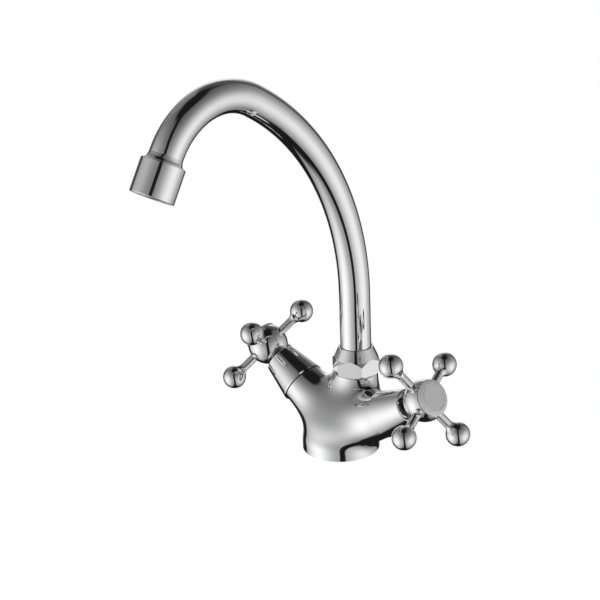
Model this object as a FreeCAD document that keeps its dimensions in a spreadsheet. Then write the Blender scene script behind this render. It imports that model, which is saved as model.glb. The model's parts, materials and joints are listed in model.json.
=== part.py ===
import FreeCAD, Part
import os
import re

import Sketcher
from FreeCAD import Vector

# A two handle kitchen faucet for one hole in the deck: a cast body with a ceramic valve and a cross
# handle on each side, and a high curved spout that swivels in a neck behind the middle.
# Lengths are in millimetres and angles in degrees. +Z is up and the spout points along -Y. The origin
# is the middle of the round base, on its underside. The hot valve is on the -X side, the cold on +X.

SIZES = {
    # casting, outside
    "base_dia": (44.8, "round base on the deck"),
    "base_side_height": (11.0, "upright side of the base below the shoulder"),
    "shoulder_top": (35.0, "height at which the shoulder has become the neck"),
    "neck_dia": (24.6, "neck under the nut"),
    "neck_height": (42.4, "height of the seat under the nut"),
    "spout_set_back": (14.4, "neck and swivel axis behind the middle of the base"),
    "stub_out": (1.2, "thread under the nut outside the tube"),
    "stub_height": (9.0, "thread above the seat"),
    "valve_tilt": (30.5, "rise of the valve axes from level"),
    "valve_set_back": (3.3, "valve axes behind the middle of the base"),
    "valve_axis_height": (9.4, "height at which the valve axes cross"),
    "arm_dia": (25.6, "valve arm of the casting"),
    "arm_root": (8.0, "start of the arm, from the crossing point"),
    "arm_length": (38.5, "end face of the arm, from the crossing point"),
    "arm_blend": (10.0, "fillet between arm and shoulder"),
    "overlap": (2.0, "how far a cut or a joined block runs past its face"),
    # casting, inside
    "inlet_dia": (9.0, "core of the M10 x 1 supply thread"),
    "inlet_depth": (12.0, "depth of the supply thread"),
    "inlet_offset": (8.6, "supply threads to each side"),
    "stud_dia": (6.8, "core of the M8 mounting stud thread"),
    "stud_depth": (11.0, "depth of the stud thread"),
    "stud_offset": (10.5, "stud in front of the middle of the base"),
    "waterway_dia": (7.0, "way from the supply thread to the valve seat"),
    "outlet_way_dia": (5.0, "way from the valve to the neck"),
    "outlet_way_rise": (4.5, "that way above the floor of the neck"),
    "outlet_way_turn": (22.0, "slant of that way, forward from the neck"),
    "outlet_way_length": (17.5, "length of that way, from the middle of the neck"),
    "neck_floor": (22.5, "bottom of the bore in the neck"),
    "gasket_inset": (1.9, "base gasket inside the edge of the base"),
    "gasket_width": (3.0, "base gasket, across the ring"),
    "gasket_height": (2.0, "base gasket, flush with the underside"),
    # spout nut and swivel
    "nut_across_flats": (25.0, "hexagon of the spout nut"),
    "nut_height": (16.0, "spout nut"),
    "nut_flat_height": (7.2, "corners of the nut below its domed top"),
    "nut_turn": (56.3, "a corner of the nut, round from the front towards +X"),
    "nut_lip": (0.65, "top of the nut, across the ring"),
    "nut_chamfer": (1.8, "lower chamfer of the nut"),
    "nut_break_out": (0.25, "where the domed top gets steeper, outside the flats"),
    "nut_break_height": (9.6, "where the domed top gets steeper"),
    "nut_lip_gap": (0.3, "gap round the tube in the top of the nut"),
    "thread_gap": (0.1, "radial gap of a screwed or pressed fit"),
    "running_gap": (0.06, "radial gap of a turning fit"),
    "end_gap": (0.1, "end play of a turning piece"),
    "washer_height": (1.0, "slide washers above and below the flange"),
    "flange_height": (1.2, "flange of the spout stem"),
    "flange_out": (0.7, "flange of the spout stem outside the tube"),
    "stem_dia": (14.8, "spout stem in the neck"),
    "stem_end_gap": (2.0, "end of the stem above the floor of the neck"),
    "stem_bore": (9.4, "water through the stem"),
    "stem_lead": (0.5, "lead-in chamfer of the stem"),
    "spigot_length": (8.0, "stem inside the tube"),
    "seal_wire_dia": (1.8, "round section of the stem seals"),
    "seal_groove_width": (2.2, "groove of a stem seal"),
    "upper_seal_rise": (3.6, "upper stem seal above the seat of the nut"),
    "lower_seal_drop": (9.4, "lower stem seal below that seat"),
    "grub_drop": (5.9, "grub screw below that seat"),
    "grub_azimuth": (66.5, "grub screw, round from the front towards +X"),
    "grub_dia": (4.4, "grub screw thread"),
    "grub_point_dia": (2.6, "point that runs in the groove of the stem"),
    "grub_recess": (2.0, "grub screw below the surface of the neck"),
    "grub_hex": (2.5, "socket of the grub screw"),
    "grub_hex_depth": (1.3, "socket of the grub screw"),
    "grub_point_gap": (0.4, "point short of the floor of its groove"),
    "grub_point_length": (1.6, "point of the grub screw"),
    "stop_groove_width": (3.4, "groove of the stem for the point"),
    "stop_groove_depth": (1.0, "groove of the stem for the point"),
    # spout
    "tube_dia": (18.0, "spout tube"),
    "tube_wall": (1.0, "spout tube"),
    "rise_length": (31.8, "upright tube above the nut"),
    "back_bend_radius": (151.3, "long bend of the back"),
    "back_bend_angle": (59.0, "long bend of the back"),
    "top_bend_radius": (43.4, "tight bend of the top"),
    "top_bend_angle": (90.6, "tight bend of the top"),
    "tail_length": (0.6, "straight end of the tube"),
    # outlet
    "outlet_spigot_length": (2.4, "outlet fitting inside the tube, short because the tube is bent there"),
    "collar_dia": (20.8, "flared collar of the outlet fitting"),
    "collar_height": (3.7, "flared collar of the outlet fitting"),
    "collar_rim": (0.3, "upright rim of the collar"),
    "collar_waist_dia": (18.9, "collar where its flare gets wider"),
    "collar_waist_height": (2.2, "collar where its flare gets wider"),
    "collar_hollow": (3.5, "radius of the hollow flare"),
    "outlet_thread_length": (8.3, "thread inside the aerator housing"),
    "spigot_wall": (0.95, "outlet fitting inside the tube"),
    "housing_dia": (23.7, "aerator housing"),
    "housing_length": (18.5, "aerator housing"),
    "housing_edge": (0.5, "rounded ends of the aerator housing"),
    "housing_wall": (1.25, "aerator housing at its thread"),
    "housing_lip": (2.35, "aerator housing at its mouth"),
    "aerator_gasket_height": (1.2, "gasket under the outlet fitting"),
    "insert_flange_height": (1.6, "flange of the aerator insert"),
    "insert_wall": (1.3, "side wall of the aerator insert"),
    "insert_floor": (1.0, "floor of the aerator insert below its flange"),
    "insert_recess": (0.9, "aerator insert back from the mouth"),
    "jet_dia": (1.6, "jets in the floor of the insert"),
    "jet_circle_dia": (11.0, "circle of the jets"),
    "jet_count": (12, "jets in the floor of the insert"),
    "screen_height": (0.5, "outlet screen"),
    "screen_hole_dia": (1.2, "holes of the outlet screen"),
    "screen_rim": (0.8, "rim of the outlet screen, to the middle of the outer holes"),
    "screen_circles": (4, "circles of holes in the outlet screen"),
    "screen_first_holes": (6, "holes of the inner circle, and as many more on each next circle"),
    # valves
    "seat_distance": (21.0, "valve seat, from the crossing point"),
    "seat_seal_height": (2.5, "rubber seal on the seat"),
    "disc_height": (2.5, "ceramic disc"),
    "disc_gap": (0.3, "gap round a turning disc"),
    "port_dia": (5.0, "port of a ceramic disc"),
    "port_offset": (4.2, "port from the valve axis"),
    "chamber_dia": (15.4, "bore of the cartridge for the discs"),
    "cage_dia": (17.8, "cartridge around the discs"),
    "cage_lift": (0.3, "cage clear of the seat, so that the seal takes the load"),
    "cage_window": (9.0, "side windows of the cartridge"),
    "valve_thread_dia": (20.8, "thread of the cartridge, G 1/2"),
    "valve_thread_length": (8.0, "thread of the cartridge"),
    "cartridge_hex_gap": (0.65, "corners of the hexagon clear of the shroud"),
    "cartridge_hex_height": (4.0, "hexagon of the cartridge"),
    "cartridge_neck_dia": (15.4, "cartridge inside the shroud"),
    "dog_height": (2.5, "driver of the turning disc"),
    "collar_step_dia": (12.2, "collar that holds the spindle in"),
    "collar_step_height": (2.5, "collar that holds the spindle in"),
    "key_width": (2.4, "key between driver and disc"),
    "key_length": (5.0, "key between driver and disc"),
    "key_height": (0.8, "key between driver and disc"),
    "spindle_dia": (8.0, "spindle"),
    "spindle_lead": (0.4, "end chamfer of the spindle"),
    "spindle_tip_gap": (0.1, "spindle below the end of its socket"),
    "spindle_seal_offset": (11.5, "spindle seal beyond the end of the arm"),
    "spindle_seal_wire": (1.1, "round section of the spindle seal"),
    "clip_height": (0.8, "retaining clip"),
    "clip_dia": (12.0, "retaining clip"),
    "clip_groove_depth": (0.8, "groove of the spindle for the clip"),
    # shrouds
    "shroud_step": (0.8, "shroud outside the arm of the casting"),
    "shroud_small_dia": (19.6, "shroud at the handle"),
    "shroud_length": (21.1, "shroud"),
    "shroud_lip": (0.9, "straight rim at the large end"),
    "shroud_wall": (1.4, "shroud"),
    "shroud_grip": (7.0, "threaded part of the shroud at the small end"),
    "shroud_edge": (0.6, "rounded edge at the small end"),
    # cross handles
    "handle_gap": (1.4, "handle clear of the shroud"),
    "hub_dia": (24.0, "ball shaped hub"),
    "hub_inner_cut": (1.1, "ball cut flat towards the shroud"),
    "hub_outer_cut": (6.2, "ball cut flat under the cap"),
    "cross_radius": (28.3, "middle of each end ball"),
    "cross_arms": (4, "arms of a cross handle"),
    "end_ball_dia": (13.8, "end ball"),
    "cross_rod_dia": (5.0, "rod between hub and ball"),
    "rod_flare": (4.0, "hollow flare from rod to ball"),
    "hot_turn": (40.9, "hot handle as it stands when closed"),
    "cold_turn": (28.1, "cold handle as it stands when closed"),
    "hub_web": (1.5, "web between socket and recess"),
    "recess_dia": (13.2, "recess for screw and cap"),
    "recess_depth": (6.8, "recess for screw and cap"),
    "screw_dia": (3.9, "handle screw, M4"),
    "screw_hole_dia": (4.4, "clearance hole in the web"),
    "screw_length": (9.0, "handle screw below its head"),
    "screw_thread_depth": (9.5, "screw hole in the end of the spindle"),
    "screw_head_dia": (7.0, "handle screw"),
    "screw_head_height": (2.2, "handle screw"),
    "screw_head_edge": (0.5, "edge break of the screw head"),
    "screw_slot": (1.0, "cross slot of the handle screw, width and depth"),
    "screw_slot_length": (4.0, "cross slot of the handle screw"),
    # index caps
    "cap_dia": (20.6, "index cap"),
    "cap_rim_height": (1.2, "upright rim of the cap"),
    "cap_rise": (0.9, "rise of the cap from rim to middle"),
    "cap_middle_dia": (14.0, "flat middle of the cap"),
    "cap_ring_width": (0.7, "ring groove round the middle"),
    "cap_ring_depth": (0.3, "ring groove round the middle"),
    "cap_edge": (0.5, "rounded edge of the rim"),
    "cap_plug_height": (2.6, "plug of the cap in the recess"),
}

WORKED = {
    "base_r": "base_dia / 2",
    "gasket_r": "base_r - gasket_inset",
    "neck_r": "neck_dia / 2",
    "arm_r": "arm_dia / 2",
    # heights of the swivel
    "tube_r": "tube_dia / 2",
    "stub_r": "tube_r + stub_out",
    "stub_top": "neck_height + stub_height",
    "outlet_way_height": "neck_floor + outlet_way_rise",
    "stem_end": "neck_floor + stem_end_gap",
    "upper_seal_height": "neck_height + upper_seal_rise",
    "lower_seal_height": "neck_height - lower_seal_drop",
    "grub_height": "neck_height - grub_drop",
    "rise_end": "neck_height + nut_height + rise_length",
    "flange_r": "tube_r + flange_out",
    "flange_base": "stub_top + washer_height",
    "flange_top": "flange_base + flange_height",
    "nut_shoulder": "flange_top + washer_height + end_gap",
    "nut_corner_r": "nut_across_flats / 2 / cos(30deg)",
    "nut_bore_r": "stub_r + thread_gap",
    "nut_mouth_r": "tube_r + nut_lip_gap",
    "nut_top_r": "nut_mouth_r + nut_lip",
    "nut_break_r": "nut_across_flats / 2 + nut_break_out",
    "spigot_r": "tube_r - tube_wall - thread_gap / 2",
    "neck_bore_r": "stem_dia / 2 + running_gap",
    "seal_groove_depth": "seal_wire_dia - running_gap / 2",
    "grub_point_at": "stem_dia / 2 - stop_groove_depth + grub_point_gap",
    "grub_body_at": "grub_point_at + grub_point_length",
    # end of the tube, forward of the swivel axis and above the deck
    "total_bend": "back_bend_angle + top_bend_angle",
    "back_reach": "back_bend_radius * (1 - cos(back_bend_angle * 1deg))",
    "back_height": "rise_end + back_bend_radius * sin(back_bend_angle * 1deg)",
    "top_reach": "back_reach + top_bend_radius * (cos(back_bend_angle * 1deg) - cos(total_bend * 1deg))",
    "top_height": "back_height + top_bend_radius * (sin(total_bend * 1deg) - sin(back_bend_angle * 1deg))",
    "outlet_reach": "top_reach + tail_length * sin(total_bend * 1deg)",
    "outlet_height": "top_height + tail_length * cos(total_bend * 1deg)",
    # along the outlet, from the end of the tube
    "outlet_nipple_end": "collar_height + outlet_thread_length",
    "insert_top": "outlet_nipple_end + aerator_gasket_height",
    "housing_step": "insert_top + insert_flange_height",
    "housing_end": "collar_height + housing_length",
    "insert_end": "housing_end - insert_recess",
    "outlet_bore_r": "spigot_r - spigot_wall",
    "housing_bore_r": "housing_dia / 2 - housing_wall",
    "housing_mouth_r": "housing_dia / 2 - housing_lip",
    "outlet_thread_r": "housing_bore_r - thread_gap",
    "insert_r": "housing_mouth_r - thread_gap",
    "screen_r": "insert_r - insert_wall - thread_gap",
    "screen_pitch": "(screen_r - screen_rim) / screen_circles",
    # along each valve axis, from the crossing point
    "fixed_disc_at": "seat_distance + seat_seal_height",
    "turning_disc_at": "fixed_disc_at + disc_height",
    "dog_at": "turning_disc_at + disc_height",
    "collar_step_at": "dog_at + dog_height",
    "collar_step_top": "collar_step_at + collar_step_height",
    "thread_at": "arm_length - valve_thread_length",
    "cartridge_hex_top": "arm_length + cartridge_hex_height",
    "shroud_end": "arm_length + shroud_length",
    "clip_at": "shroud_end - clip_height - end_gap",
    "cartridge_end": "clip_at - end_gap",
    "shroud_r": "arm_r + shroud_step",
    "cartridge_hex_r": "shroud_r - shroud_wall - cartridge_hex_gap",
    "spindle_seal_distance": "arm_length + spindle_seal_offset",
    "hub_inner_face": "hub_dia / 2 - hub_inner_cut",
    "hub_distance": "shroud_end + handle_gap + hub_inner_face",
    "turning_disc_r": "chamber_dia / 2 - disc_gap",
    "spindle_r": "spindle_dia / 2",
    "spindle_bore_r": "spindle_r + running_gap",
    "spindle_seal_groove": "spindle_seal_wire - running_gap / 2",
    "valve_bore_r": "valve_thread_dia / 2 + thread_gap",
    # in each handle, from the middle of the hub
    "hub_outer_face": "hub_dia / 2 - hub_outer_cut",
    "recess_floor": "hub_outer_face - recess_depth",
    "socket_end": "recess_floor - hub_web",
    "spindle_end": "hub_distance + socket_end - spindle_tip_gap",
    "cap_rim_top": "hub_outer_face + cap_rim_height",
    "cap_top": "cap_rim_top + cap_rise",
}

LEVEL = "placement(vector(0; 0; 0); rotation(vector(0; 1; 0); 90))"
SHOULDER_STEPS = 8
TOLERANCE = 0.01

SHEET_OF = {name: "Sizes" for name in SIZES} | {name: "Worked" for name in WORKED}

doc = FreeCAD.newDocument("two_handle_kitchen_faucet")
pieces = []


def tied(text):
    """Turn a length given in the words of the sheets into an expression of the document."""
    return re.sub(r"[a-z][a-z0-9_]*", lambda word: f"{SHEET_OF[word[0]]}.{word[0]}" if word[0] in SHEET_OF
                  else word[0], str(text))


def value(text):
    """The number that such a length has now."""
    return float(sizes.evalExpression(tied(text)))


def write_sheet(name, rows):
    """A sheet with a name, a cell with its alias and a note in each row."""
    sheet = doc.addObject("Spreadsheet::Sheet", name)
    for row, (alias, content, note) in enumerate(rows, start=1):
        sheet.set(f"A{row}", alias)
        sheet.set(f"B{row}", content)
        sheet.setAlias(f"B{row}", alias)
        sheet.set(f"C{row}", note)
    doc.recompute()
    return sheet


def place(x="0", y="0", z="0", axis="0; 0; 1", angle="0"):
    """A placement: moved to x, y, z and turned by an angle about an axis."""
    return f"placement(vector({tied(x)}; {tied(y)}; {tied(z)}); rotation(vector({axis}); {tied(angle)}))"


def on_spout_axis(height="0", turn="0"):
    return place(y="spout_set_back", z=height, angle=turn)


def on_outlet():
    """At the end of the spout tube, with +Z along the flow."""
    return place(y="spout_set_back - outlet_reach", z="outlet_height", axis="1; 0; 0", angle="total_bend")


def on_grub_axis():
    """In the middle of the neck, with +Z along the grub screw."""
    return f"{on_spout_axis('grub_height', 'grub_azimuth - 90')} * {LEVEL}"


def on_valve(side, distance="0", turn="0"):
    """On a valve axis, with +Z outwards. The side is +1 for cold and -1 for hot."""
    lean = place(y="valve_set_back", z="valve_axis_height", axis="0; 1; 0",
                 angle=f"{side} * (90 - valve_tilt)")
    return f"{lean} * {place(z=distance, angle=turn)}"


def new_body(name):
    return doc.addObject("PartDesign::Body", name)


def origin_feature(body, role):
    return next(item for item in body.Origin.OriginFeatures if item.Role == role)


def new_sketch(body, name, role="XZ_Plane"):
    sketch = body.newObject("Sketcher::SketchObject", name)
    sketch.AttachmentSupport = [(origin_feature(body, role), "")]
    sketch.MapMode = "FlatFace"
    return sketch


def tie(sketch, constraint, expression):
    """Add a constraint of a sketch and bind its size."""
    index = sketch.addConstraint(constraint)
    sketch.setExpression(f"Constraints[{index}]", tied(expression))


def fix_point(sketch, geometry, end, across, up):
    """Hold an end of a line or arc, or a centre, at a distance across and up from the sketch's origin."""
    for kind, axis, expression in (("DistanceX", -2, across), ("DistanceY", -1, up)):
        if expression == "0":
            sketch.addConstraint(Sketcher.Constraint("PointOnObject", geometry, end, axis))
        else:
            tie(sketch, Sketcher.Constraint(kind, -1, 1, geometry, end, value(expression)), expression)


def outline_sketch(body, name, outline, role="XZ_Plane"):
    """A closed outline of straight lines through points that are each held across and up."""
    sketch = new_sketch(body, name, role)
    points = [Vector(value(across), value(up), 0) for across, up in outline]
    for index, point in enumerate(points):
        sketch.addGeometry(Part.LineSegment(point, points[(index + 1) % len(points)]))
    for index, (across, up) in enumerate(outline):
        previous = (index - 1) % len(points)
        sketch.addConstraint(Sketcher.Constraint("Coincident", previous, 2, index, 1))
        fix_point(sketch, index, 1, across, up)
    return sketch


def spin(body, kind, sketch, axis="V_Axis"):
    """Add (Revolution) or cut (Groove) a full turn of a sketch."""
    feature = body.newObject(f"PartDesign::{kind}", f"{sketch.Name}_{kind.lower()}")
    feature.Profile = sketch
    feature.ReferenceAxis = (sketch, [axis])
    feature.Angle = 360
    return feature


def turned(name, outline):
    """A body turned about its Z axis from an outline of radius and height."""
    body = new_body(name)
    spin(body, "Revolution", outline_sketch(body, f"{name}_outline", outline))
    return body


def ring_outline(inner, outer, low, high):
    return [(inner, low), (outer, low), (outer, high), (inner, high)]


def primitive(body, kind, name, where, **dimensions):
    """Add or cut a block, cylinder or prism of PartDesign, placed in the body's own frame."""
    feature = body.newObject(f"PartDesign::{kind}", name)
    feature.AttachmentSupport = [(origin_feature(body, "XY_Plane"), "")]
    feature.MapMode = "FlatFace"
    feature.setExpression("AttachmentOffset", where)
    for dimension, expression in dimensions.items():
        feature.setExpression(dimension, tied(expression))
    return feature


def repeat_round(body, feature, count):
    """Repeat a feature round the body's Z axis."""
    pattern = body.newObject("PartDesign::PolarPattern", f"{feature.Name}_round")
    pattern.Originals = [feature]
    pattern.Axis = (origin_feature(body, "Z_Axis"), [""])
    pattern.Angle = 360
    pattern.setExpression("Occurrences", tied(count))
    body.Tip = pattern
    return pattern


def circles(feature, height, radius):
    """Names of the feature's full circles with that height and radius, in the body's own frame."""
    doc.recompute()
    found = []
    for index, edge in enumerate(feature.Shape.Edges, start=1):
        curve = edge.Curve
        if isinstance(curve, Part.Circle) and abs(curve.Radius - radius) < TOLERANCE:
            if abs(curve.Center.z - height) < TOLERANCE:
                found.append(f"Edge{index}")
    return found


def dress(body, kind, edges, size):
    """Add a Fillet or Chamfer to edges of the body's last feature."""
    base = body.Tip
    feature = body.newObject(f"PartDesign::{kind}", f"{body.Name}_{kind.lower()}_{len(body.Group)}")
    feature.Base = (base, edges)
    feature.setExpression("Radius" if kind == "Fillet" else "Size", tied(size))
    return feature


def keep(thing, label, where):
    """Give a finished piece its label and its place."""
    thing.Label = label
    thing.setExpression("Placement", where)
    pieces.append(thing)


def shoulder_loft(body):
    """The flowing shape from the round base up to the neck behind it."""
    stations = [("0", 0.0), ("base_side_height / 2", 0.0)]
    for step in range(SHOULDER_STEPS + 1):
        along = step / SHOULDER_STEPS
        stations.append((f"base_side_height + (shoulder_top - base_side_height) * {along}",
                         3 * along**2 - 2 * along**3))
    stations.append(("neck_height", 1.0))
    rings = []
    for index, (height, blend) in enumerate(stations):
        ring = new_sketch(body, f"shoulder_ring_{index}", "XY_Plane")
        ring.setExpression("AttachmentOffset.Base.z", tied(height))
        radius = f"base_r + (neck_r - base_r) * {blend}"
        centre = f"spout_set_back * {blend}" if blend else "0"
        ring.addGeometry(Part.Circle(Vector(0, value(centre), 0), Vector(0, 0, 1), value(radius)))
        fix_point(ring, 0, 3, "0", centre)
        tie(ring, Sketcher.Constraint("Radius", 0, value(radius)), radius)
        rings.append(ring)
    loft = body.newObject("PartDesign::AdditiveLoft", "shoulder")
    loft.Profile = rings[0]
    loft.Sections = rings[1:]
    loft.Ruled = False


def arm_root_edges(feature):
    """Names of the edges in which an arm meets the shoulder: neither flat circles nor seams."""
    doc.recompute()
    found = []
    for index, edge in enumerate(feature.Shape.Edges, start=1):
        faces = feature.Shape.ancestorsOfType(edge, Part.Face)
        surfaces = {type(face.Surface).__name__ for face in faces}
        if len(faces) == 2 and surfaces == {"Cylinder", "BSplineSurface"}:
            found.append(f"Edge{index}")
    return found


def casting():
    body = new_body("casting")
    shoulder_loft(body)
    for side in (-1, 1):
        arm = primitive(body, "AdditiveCylinder", f"arm_{side + 1}", on_valve(side, "arm_root"),
                        Radius="arm_r", Height="arm_length - arm_root")
    dress(body, "Fillet", arm_root_edges(arm), "arm_blend")
    primitive(body, "AdditiveCylinder", "stub", on_spout_axis("neck_height - overlap"),
              Radius="stub_r", Height="stub_height + overlap")
    primitive(body, "SubtractiveCylinder", "neck_bore", on_spout_axis("neck_floor"),
              Radius="neck_bore_r", Height="stub_top - neck_floor + overlap")
    for side in (-1, 1):
        cut_valve_ways(body, side)
    primitive(body, "SubtractiveCylinder", "stud_hole", place(y="-stud_offset", z="-overlap"),
              Radius="stud_dia / 2", Height="stud_depth + overlap")
    primitive(body, "SubtractiveCylinder", "grub_hole", on_grub_axis(),
              Radius="grub_dia / 2 + thread_gap", Height="arm_r")
    groove = ring_outline("gasket_r - gasket_width - thread_gap", "gasket_r + thread_gap",
                          "0", "gasket_height")
    spin(body, "Groove", outline_sketch(body, "gasket_groove", groove))
    keep(body, "body_casting", place())


def cut_valve_ways(body, side):
    """Bore the arm for its cartridge, and the ways from the supply to the seat and on to the neck."""
    primitive(body, "SubtractiveCylinder", f"valve_bore_{side + 1}", on_valve(side, "seat_distance"),
              Radius="valve_bore_r", Height="arm_length - seat_distance + overlap")
    primitive(body, "SubtractiveCylinder", f"waterway_{side + 1}", on_valve(side, "arm_root"),
              Radius="waterway_dia / 2", Height="seat_distance - arm_root + overlap")
    primitive(body, "SubtractiveCylinder", f"inlet_{side + 1}",
              place(x=f"{side} * inlet_offset", y="valve_set_back", z="-overlap"),
              Radius="inlet_dia / 2", Height="inlet_depth + overlap")
    slant = on_spout_axis("outlet_way_height", f"90 - {side} * (90 + outlet_way_turn)")
    primitive(body, "SubtractiveCylinder", f"outlet_way_{side + 1}", f"{slant} * {LEVEL}",
              Radius="outlet_way_dia / 2", Height="outlet_way_length")


def base_gasket():
    gasket = turned("gasket", ring_outline("gasket_r - gasket_width", "gasket_r",
                                           "0", "gasket_height"))
    keep(gasket, "base_gasket", place())


def grub_screw():
    """Headless screw in the neck, whose point holds the stem of the spout down."""
    body = turned("grub", [
        ("0", "grub_point_at"), ("grub_point_dia / 2", "grub_point_at"),
        ("grub_point_dia / 2", "grub_body_at"), ("grub_dia / 2", "grub_body_at"),
        ("grub_dia / 2", "neck_r - grub_recess"), ("0", "neck_r - grub_recess")])
    primitive(body, "SubtractivePrism", "grub_socket", place(z="neck_r - grub_recess - grub_hex_depth"),
              Circumradius="grub_hex / 2 / cos(30deg)", Height="grub_hex_depth + overlap")
    keep(body, "neck_grub_screw", on_grub_axis())


def spout_nut():
    body = new_body("nut")
    primitive(body, "AdditivePrism", "nut_hexagon", place(), Circumradius="nut_corner_r", Height="nut_height")
    outside = "nut_corner_r + overlap"
    dome = [("nut_corner_r", "nut_flat_height"), (outside, "nut_flat_height"),
            (outside, "nut_height + overlap"), ("nut_top_r", "nut_height + overlap"),
            ("nut_top_r", "nut_height"), ("nut_break_r", "nut_break_height")]
    spin(body, "Groove", outline_sketch(body, "nut_dome", dome))
    chamfer = [("nut_corner_r - nut_chamfer", "-overlap"), (outside, "-overlap"), (outside, "nut_chamfer"),
               ("nut_corner_r", "nut_chamfer"), ("nut_corner_r - nut_chamfer", "0")]
    spin(body, "Groove", outline_sketch(body, "nut_foot", chamfer))
    primitive(body, "SubtractiveCylinder", "nut_thread", place(z="-overlap"),
              Radius="nut_bore_r", Height="nut_shoulder - neck_height + overlap")
    primitive(body, "SubtractiveCylinder", "nut_mouth", place(),
              Radius="nut_mouth_r", Height="nut_height + overlap")
    keep(body, "spout_nut", on_spout_axis("neck_height", "nut_turn - 90"))


def slide_washers():
    ring = ring_outline("stem_dia / 2 + thread_gap", "stub_r", "0", "washer_height")
    lower = turned("lower_washer", ring)
    keep(lower, "lower_slide_washer", on_spout_axis("stub_top"))
    upper = turned("upper_washer", ring_outline("tube_r + running_gap", "stub_r", "0", "washer_height"))
    keep(upper, "upper_slide_washer", on_spout_axis("flange_top"))


def spout_stem():
    """Turned stem soldered into the foot of the tube, with its flange, seal grooves and stop groove."""
    body = turned("stem", [
        ("stem_bore / 2", "stem_end"), ("stem_dia / 2 - stem_lead", "stem_end"),
        ("stem_dia / 2", "stem_end + stem_lead"), ("stem_dia / 2", "flange_base"),
        ("flange_r", "flange_base"), ("flange_r", "flange_top"), ("spigot_r", "flange_top"),
        ("spigot_r", "flange_top + spigot_length"), ("stem_bore / 2", "flange_top + spigot_length")])
    grooves = [("lower_seal_height", "seal_groove_width", "seal_groove_depth"),
               ("grub_height", "stop_groove_width", "stop_groove_depth"),
               ("upper_seal_height", "seal_groove_width", "seal_groove_depth")]
    for index, (height, width, depth) in enumerate(grooves):
        groove = ring_outline(f"stem_dia / 2 - {depth}", "stem_dia / 2 + overlap",
                              f"{height} - {width} / 2", f"{height} + {width} / 2")
        spin(body, "Groove", outline_sketch(body, f"stem_groove_{index}", groove))
    keep(body, "spout_stem", on_spout_axis())


def o_ring(name, inner_radius, wire, height="0"):
    ring = doc.addObject("Part::Torus", name)
    ring.setExpression("Radius1", tied(f"{inner_radius} + {wire} / 2"))
    ring.setExpression("Radius2", tied(f"{wire} / 2"))
    ring.setExpression("Placement", place(z=height))
    return ring


def stem_seals():
    pair = doc.addObject("Part::Compound", "stem_seal_pair")
    pair.Links = [o_ring(f"stem_seal_{level}", "stem_dia / 2 - seal_groove_depth", "seal_wire_dia", height)
                  for level, height in enumerate(("lower_seal_height", "upper_seal_height"))]
    keep(pair, "spout_stem_seals", on_spout_axis())


def spout_tube():
    """Thin tube along an upright run, a long bend, a tight bend and a short tail."""
    body = new_body("tube")
    section = new_sketch(body, "tube_section", "XY_Plane")
    section.setExpression("AttachmentOffset.Base.z", tied("flange_top"))
    for index, radius in enumerate(("tube_r", "tube_r - tube_wall")):
        section.addGeometry(Part.Circle(Vector(0, 0, 0), Vector(0, 0, 1), value(radius)))
        section.addConstraint(Sketcher.Constraint("Coincident", index, 3, -1, 1))
        tie(section, Sketcher.Constraint("Radius", index, value(radius)), radius)
    pipe = body.newObject("PartDesign::AdditivePipe", "tube_pipe")
    pipe.Profile = section
    pipe.Spine = tube_path(body)
    keep(body, "spout_tube", on_spout_axis())


def tube_path(body):
    """Centre line of the tube in the upright plane of the spout: -X of the sketch is forward."""
    path = new_sketch(body, "tube_path", "YZ_Plane")
    corners = [("0", "flange_top"), ("0", "rise_end"), ("-back_reach", "back_height"),
               ("-top_reach", "top_height"), ("-outlet_reach", "outlet_height")]
    foot, bend_start, bend_change, bend_end, tip = [Vector(value(x), value(z), 0) for x, z in corners]
    bends = [(bend_start, bend_change, "back_bend_radius", "back_bend_angle", "0"),
             (bend_change, bend_end, "top_bend_radius", "top_bend_angle", "back_bend_angle")]
    path.addGeometry(Part.LineSegment(foot, bend_start))
    for start, end, radius, angle, turned_before in bends:
        first = FreeCAD.Units.Quantity(f"{value(turned_before)} deg").getValueAs("rad").Value
        sweep = FreeCAD.Units.Quantity(f"{value(angle)} deg").getValueAs("rad").Value
        outward = FreeCAD.Rotation(Vector(0, 0, 1), value(turned_before)).multVec(Vector(value(radius), 0, 0))
        path.addGeometry(Part.ArcOfCircle(Part.Circle(start - outward, Vector(0, 0, 1), value(radius)),
                                          first, first + sweep))
    path.addGeometry(Part.LineSegment(bend_end, tip))
    fix_point(path, 0, 1, *corners[0])
    fix_point(path, 0, 2, *corners[1])
    for joint in range(3):
        path.addConstraint(Sketcher.Constraint("Tangent", joint, 2, joint + 1, 1))
    for index, (_, _, radius, angle, _) in enumerate(bends, start=1):
        tie(path, Sketcher.Constraint("Radius", index, value(radius)), radius)
        tie(path, Sketcher.Constraint("Angle", index, FreeCAD.Units.Quantity(f"{value(angle)} deg")), angle)
    tie(path, Sketcher.Constraint("Distance", 3, value("tail_length")), "tail_length")
    return path


def outlet_fitting():
    """Turned end of the spout: a spigot in the tube, a flared collar and the thread for the housing."""
    body = turned("outlet", [
        ("outlet_bore_r", "-outlet_spigot_length"), ("spigot_r", "-outlet_spigot_length"), ("spigot_r", "0"),
        ("tube_r", "0"), ("collar_waist_dia / 2", "collar_waist_height"),
        ("collar_dia / 2", "collar_height - collar_rim"), ("collar_dia / 2", "collar_height"),
        ("outlet_thread_r", "collar_height"), ("outlet_thread_r", "outlet_nipple_end"),
        ("outlet_bore_r", "outlet_nipple_end")])
    waist = circles(body.Tip, value("collar_waist_height"), value("collar_waist_dia / 2"))
    dress(body, "Fillet", waist, "collar_hollow")
    keep(body, "outlet_fitting", on_outlet())


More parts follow.
